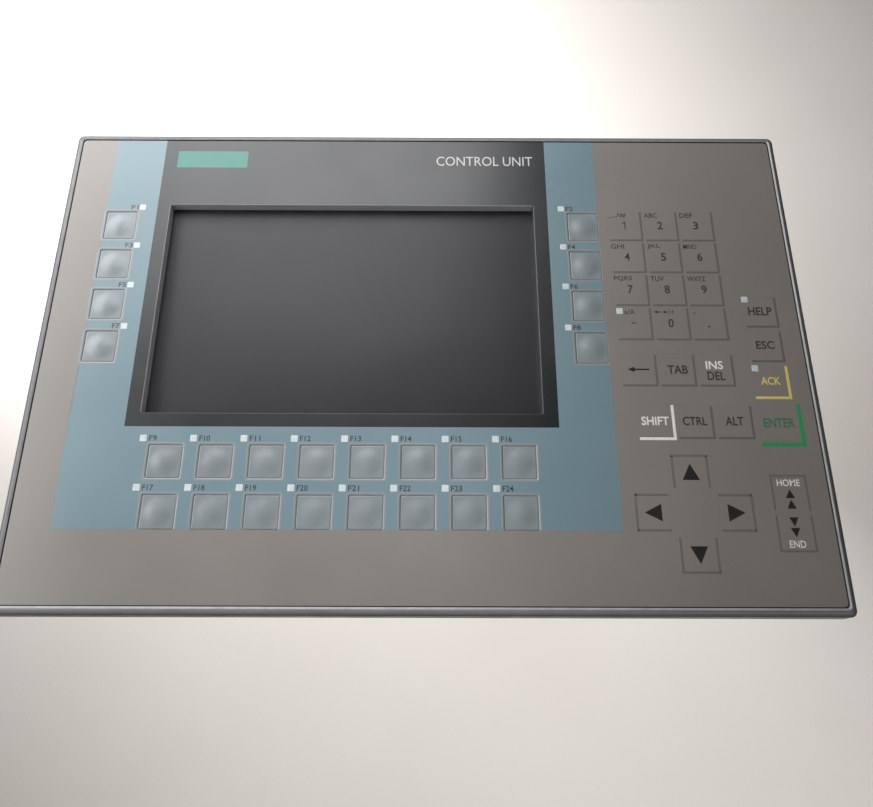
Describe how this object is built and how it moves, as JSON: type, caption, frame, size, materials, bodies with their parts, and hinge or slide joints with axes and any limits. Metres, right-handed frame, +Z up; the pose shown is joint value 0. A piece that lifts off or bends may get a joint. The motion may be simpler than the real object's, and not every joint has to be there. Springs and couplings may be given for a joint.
{
  "type": "key-operated hmi panel",
  "caption": "Flush-mount operator panel: a wide display recessed in a printed key foil with function, number and arrow keys, and a deep electronics housing behind the front flange.",
  "frame": {"origin": "centre of the door cut-out, on the face of the front flange that seals against the door sheet", "axes": "+Z up, +X to the right seen from the front, +Y into the cabinet; the keys and the display face -Y"},
  "size_m": [0.3096, 0.0703, 0.2056],
  "materials": {
    "frame_paint": "dark grey satin paint on a casting",
    "foil": "fine-textured printed polyester, grey with blue and near-black fields",
    "key_window": "translucent embossed polyester",
    "window": "clear, slightly matt",
    "screen": "dark, unlit",
    "circuit_board": "green solder mask",
    "sheet_steel": "zinc-plated sheet",
    "seal_rubber": "matt",
    "housing_metal": "bead-blasted",
    "cover_metal": "brushed sheet",
    "port_metal": "tin-plated shells",
    "terminal_plastic": "moulded green",
    "clip_metal": "die-cast, tumbled",
    "screw_steel": "zinc-plated",
    "door_plastic": "fine-textured moulding"
  },
  "bodies": {
    "panel": {"front_frame": "frame_paint", "front_foil": "foil", "display_window": "window", "display_module": "screen", "key_circuit_board": "circuit_board", "chassis_plate": "sheet_steel", "mounting_seal": "seal_rubber", "rear_housing": "housing_metal", "rear_cover": "cover_metal", "mainboard": "circuit_board", "data_ports": "port_metal", "power_terminal": "terminal_plastic", "mounting_clips": "clip_metal", "housing_screws": "screw_steel"},
    "card_door": {"card_door": "door_plastic"},
    "clamp_screws": {"clamp_screws": "screw_steel"},
    "key_f1": {"key_f1": "key_window"},
    "key_f2": {"key_f2": "key_window"},
    "key_f3": {"key_f3": "key_window"},
    "key_f4": {"key_f4": "key_window"},
    "key_f5": {"key_f5": "key_window"},
    "key_f6": {"key_f6": "key_window"},
    "key_f7": {"key_f7": "key_window"},
    "key_f8": {"key_f8": "key_window"},
    "key_f9": {"key_f9": "key_window"},
    "key_f10": {"key_f10": "key_window"},
    "key_f11": {"key_f11": "key_window"},
    "key_f12": {"key_f12": "key_window"},
    "key_f13": {"key_f13": "key_window"},
    "key_f14": {"key_f14": "key_window"},
    "key_f15": {"key_f15": "key_window"},
    "key_f16": {"key_f16": "key_window"},
    "key_f17": {"key_f17": "key_window"},
    "key_f18": {"key_f18": "key_window"},
    "key_f19": {"key_f19": "key_window"},
    "key_f20": {"key_f20": "key_window"},
    "key_f21": {"key_f21": "key_window"},
    "key_f22": {"key_f22": "key_window"},
    "key_f23": {"key_f23": "key_window"},
    "key_f24": {"key_f24": "key_window"},
    "keys_1_2_3": {"keys_1_2_3": "foil"},
    "keys_4_5_6": {"keys_4_5_6": "foil"},
    "keys_7_8_9": {"keys_7_8_9": "foil"},
    "keys_sign_0_point": {"keys_sign_0_point": "foil"},
    "key_back": {"key_back": "foil"},
    "key_tab": {"key_tab": "foil"},
    "key_ins_del": {"key_ins_del": "foil"},
    "key_shift": {"key_shift": "foil"},
    "key_ctrl": {"key_ctrl": "foil"},
    "key_alt": {"key_alt": "foil"},
    "key_help": {"key_help": "foil"},
    "key_esc": {"key_esc": "foil"},
    "key_ack": {"key_ack": "foil"},
    "key_enter": {"key_enter": "foil"},
    "key_up": {"key_up": "foil"},
    "key_down": {"key_down": "foil"},
    "key_left": {"key_left": "foil"},
    "key_right": {"key_right": "foil"},
    "key_home": {"key_home": "foil"},
    "key_end": {"key_end": "foil"}
  },
  "joints": [
    {"name": "press_f1", "type": "slide", "parent": "panel", "child": "key_f1", "axis": [0, 1, 0], "range_m": [0, 0.0004], "stiffness_N_per_m": 6000, "springref_m": -0.0001},
    {"name": "press_f2", "type": "slide", "parent": "panel", "child": "key_f2", "axis": [0, 1, 0], "range_m": [0, 0.0004], "stiffness_N_per_m": 6000, "springref_m": -0.0001},
    {"name": "press_f3", "type": "slide", "parent": "panel", "child": "key_f3", "axis": [0, 1, 0], "range_m": [0, 0.0004], "stiffness_N_per_m": 6000, "springref_m": -0.0001},
    {"name": "press_f4", "type": "slide", "parent": "panel", "child": "key_f4", "axis": [0, 1, 0], "range_m": [0, 0.0004], "stiffness_N_per_m": 6000, "springref_m": -0.0001},
    {"name": "press_f5", "type": "slide", "parent": "panel", "child": "key_f5", "axis": [0, 1, 0], "range_m": [0, 0.0004], "stiffness_N_per_m": 6000, "springref_m": -0.0001},
    {"name": "press_f6", "type": "slide", "parent": "panel", "child": "key_f6", "axis": [0, 1, 0], "range_m": [0, 0.0004], "stiffness_N_per_m": 6000, "springref_m": -0.0001},
    {"name": "press_f7", "type": "slide", "parent": "panel", "child": "key_f7", "axis": [0, 1, 0], "range_m": [0, 0.0004], "stiffness_N_per_m": 6000, "springref_m": -0.0001},
    {"name": "press_f8", "type": "slide", "parent": "panel", "child": "key_f8", "axis": [0, 1, 0], "range_m": [0, 0.0004], "stiffness_N_per_m": 6000, "springref_m": -0.0001},
    {"name": "press_f9", "type": "slide", "parent": "panel", "child": "key_f9", "axis": [0, 1, 0], "range_m": [0, 0.0004], "stiffness_N_per_m": 6000, "springref_m": -0.0001},
    {"name": "press_f10", "type": "slide", "parent": "panel", "child": "key_f10", "axis": [0, 1, 0], "range_m": [0, 0.0004], "stiffness_N_per_m": 6000, "springref_m": -0.0001},
    {"name": "press_f11", "type": "slide", "parent": "panel", "child": "key_f11", "axis": [0, 1, 0], "range_m": [0, 0.0004], "stiffness_N_per_m": 6000, "springref_m": -0.0001},
    {"name": "press_f12", "type": "slide", "parent": "panel", "child": "key_f12", "axis": [0, 1, 0], "range_m": [0, 0.0004], "stiffness_N_per_m": 6000, "springref_m": -0.0001},
    {"name": "press_f13", "type": "slide", "parent": "panel", "child": "key_f13", "axis": [0, 1, 0], "range_m": [0, 0.0004], "stiffness_N_per_m": 6000, "springref_m": -0.0001},
    {"name": "press_f14", "type": "slide", "parent": "panel", "child": "key_f14", "axis": [0, 1, 0], "range_m": [0, 0.0004], "stiffness_N_per_m": 6000, "springref_m": -0.0001},
    {"name": "press_f15", "type": "slide", "parent": "panel", "child": "key_f15", "axis": [0, 1, 0], "range_m": [0, 0.0004], "stiffness_N_per_m": 6000, "springref_m": -0.0001},
    {"name": "press_f16", "type": "slide", "parent": "panel", "child": "key_f16", "axis": [0, 1, 0], "range_m": [0, 0.0004], "stiffness_N_per_m": 6000, "springref_m": -0.0001},
    {"name": "press_f17", "type": "slide", "parent": "panel", "child": "key_f17", "axis": [0, 1, 0], "range_m": [0, 0.0004], "stiffness_N_per_m": 6000, "springref_m": -0.0001},
    {"name": "press_f18", "type": "slide", "parent": "panel", "child": "key_f18", "axis": [0, 1, 0], "range_m": [0, 0.0004], "stiffness_N_per_m": 6000, "springref_m": -0.0001},
    {"name": "press_f19", "type": "slide", "parent": "panel", "child": "key_f19", "axis": [0, 1, 0], "range_m": [0, 0.0004], "stiffness_N_per_m": 6000, "springref_m": -0.0001},
    {"name": "press_f20", "type": "slide", "parent": "panel", "child": "key_f20", "axis": [0, 1, 0], "range_m": [0, 0.0004], "stiffness_N_per_m": 6000, "springref_m": -0.0001},
    {"name": "press_f21", "type": "slide", "parent": "panel", "child": "key_f21", "axis": [0, 1, 0], "range_m": [0, 0.0004], "stiffness_N_per_m": 6000, "springref_m": -0.0001},
    {"name": "press_f22", "type": "slide", "parent": "panel", "child": "key_f22", "axis": [0, 1, 0], "range_m": [0, 0.0004], "stiffness_N_per_m": 6000, "springref_m": -0.0001},
    {"name": "press_f23", "type": "slide", "parent": "panel", "child": "key_f23", "axis": [0, 1, 0], "range_m": [0, 0.0004], "stiffness_N_per_m": 6000, "springref_m": -0.0001},
    {"name": "press_f24", "type": "slide", "parent": "panel", "child": "key_f24", "axis": [0, 1, 0], "range_m": [0, 0.0004], "stiffness_N_per_m": 6000, "springref_m": -0.0001},
    {"name": "press_1_2_3", "type": "slide", "parent": "panel", "child": "keys_1_2_3", "axis": [0, 1, 0], "range_m": [0, 0.0004], "stiffness_N_per_m": 6000, "springref_m": -0.0001},
    {"name": "press_4_5_6", "type": "slide", "parent": "panel", "child": "keys_4_5_6", "axis": [0, 1, 0], "range_m": [0, 0.0004], "stiffness_N_per_m": 6000, "springref_m": -0.0001},
    {"name": "press_7_8_9", "type": "slide", "parent": "panel", "child": "keys_7_8_9", "axis": [0, 1, 0], "range_m": [0, 0.0004], "stiffness_N_per_m": 6000, "springref_m": -0.0001},
    {"name": "press_sign_0_point", "type": "slide", "parent": "panel", "child": "keys_sign_0_point", "axis": [0, 1, 0], "range_m": [0, 0.0004], "stiffness_N_per_m": 6000, "springref_m": -0.0001},
    {"name": "press_back", "type": "slide", "parent": "panel", "child": "key_back", "axis": [0, 1, 0], "range_m": [0, 0.0004], "stiffness_N_per_m": 6000, "springref_m": -0.0001},
    {"name": "press_tab", "type": "slide", "parent": "panel", "child": "key_tab", "axis": [0, 1, 0], "range_m": [0, 0.0004], "stiffness_N_per_m": 6000, "springref_m": -0.0001},
    {"name": "press_ins_del", "type": "slide", "parent": "panel", "child": "key_ins_del", "axis": [0, 1, 0], "range_m": [0, 0.0004], "stiffness_N_per_m": 6000, "springref_m": -0.0001},
    {"name": "press_shift", "type": "slide", "parent": "panel", "child": "key_shift", "axis": [0, 1, 0], "range_m": [0, 0.0004], "stiffness_N_per_m": 6000, "springref_m": -0.0001},
    {"name": "press_ctrl", "type": "slide", "parent": "panel", "child": "key_ctrl", "axis": [0, 1, 0], "range_m": [0, 0.0004], "stiffness_N_per_m": 6000, "springref_m": -0.0001},
    {"name": "press_alt", "type": "slide", "parent": "panel", "child": "key_alt", "axis": [0, 1, 0], "range_m": [0, 0.0004], "stiffness_N_per_m": 6000, "springref_m": -0.0001},
    {"name": "press_help", "type": "slide", "parent": "panel", "child": "key_help", "axis": [0, 1, 0], "range_m": [0, 0.0004], "stiffness_N_per_m": 6000, "springref_m": -0.0001},
    {"name": "press_esc", "type": "slide", "parent": "panel", "child": "key_esc", "axis": [0, 1, 0], "range_m": [0, 0.0004], "stiffness_N_per_m": 6000, "springref_m": -0.0001},
    {"name": "press_ack", "type": "slide", "parent": "panel", "child": "key_ack", "axis": [0, 1, 0], "range_m": [0, 0.0004], "stiffness_N_per_m": 6000, "springref_m": -0.0001},
    {"name": "press_enter", "type": "slide", "parent": "panel", "child": "key_enter", "axis": [0, 1, 0], "range_m": [0, 0.0004], "stiffness_N_per_m": 6000, "springref_m": -0.0001},
    {"name": "press_up", "type": "slide", "parent": "panel", "child": "key_up", "axis": [0, 1, 0], "range_m": [0, 0.0004], "stiffness_N_per_m": 6000, "springref_m": -0.0001},
    {"name": "press_down", "type": "slide", "parent": "panel", "child": "key_down", "axis": [0, 1, 0], "range_m": [0, 0.0004], "stiffness_N_per_m": 6000, "springref_m": -0.0001},
    {"name": "press_left", "type": "slide", "parent": "panel", "child": "key_left", "axis": [0, 1, 0], "range_m": [0, 0.0004], "stiffness_N_per_m": 6000, "springref_m": -0.0001},
    {"name": "press_right", "type": "slide", "parent": "panel", "child": "key_right", "axis": [0, 1, 0], "range_m": [0, 0.0004], "stiffness_N_per_m": 6000, "springref_m": -0.0001},
    {"name": "press_home", "type": "slide", "parent": "panel", "child": "key_home", "axis": [0, 1, 0], "range_m": [0, 0.0004], "stiffness_N_per_m": 6000, "springref_m": -0.0001},
    {"name": "press_end", "type": "slide", "parent": "panel", "child": "key_end", "axis": [0, 1, 0], "range_m": [0, 0.0004], "stiffness_N_per_m": 6000, "springref_m": -0.0001},
    {"name": "card_door_hinge", "type": "hinge", "parent": "panel", "child": "card_door", "pos_m": [0.084, 0.054, -0.022], "axis": [1, 0, 0], "range_deg": [0, 110]},
    {"name": "clamp_screw_travel", "type": "slide", "parent": "panel", "child": "clamp_screws", "axis": [0, -1, 0], "range_m": [0, 0.0055]}
  ]
}
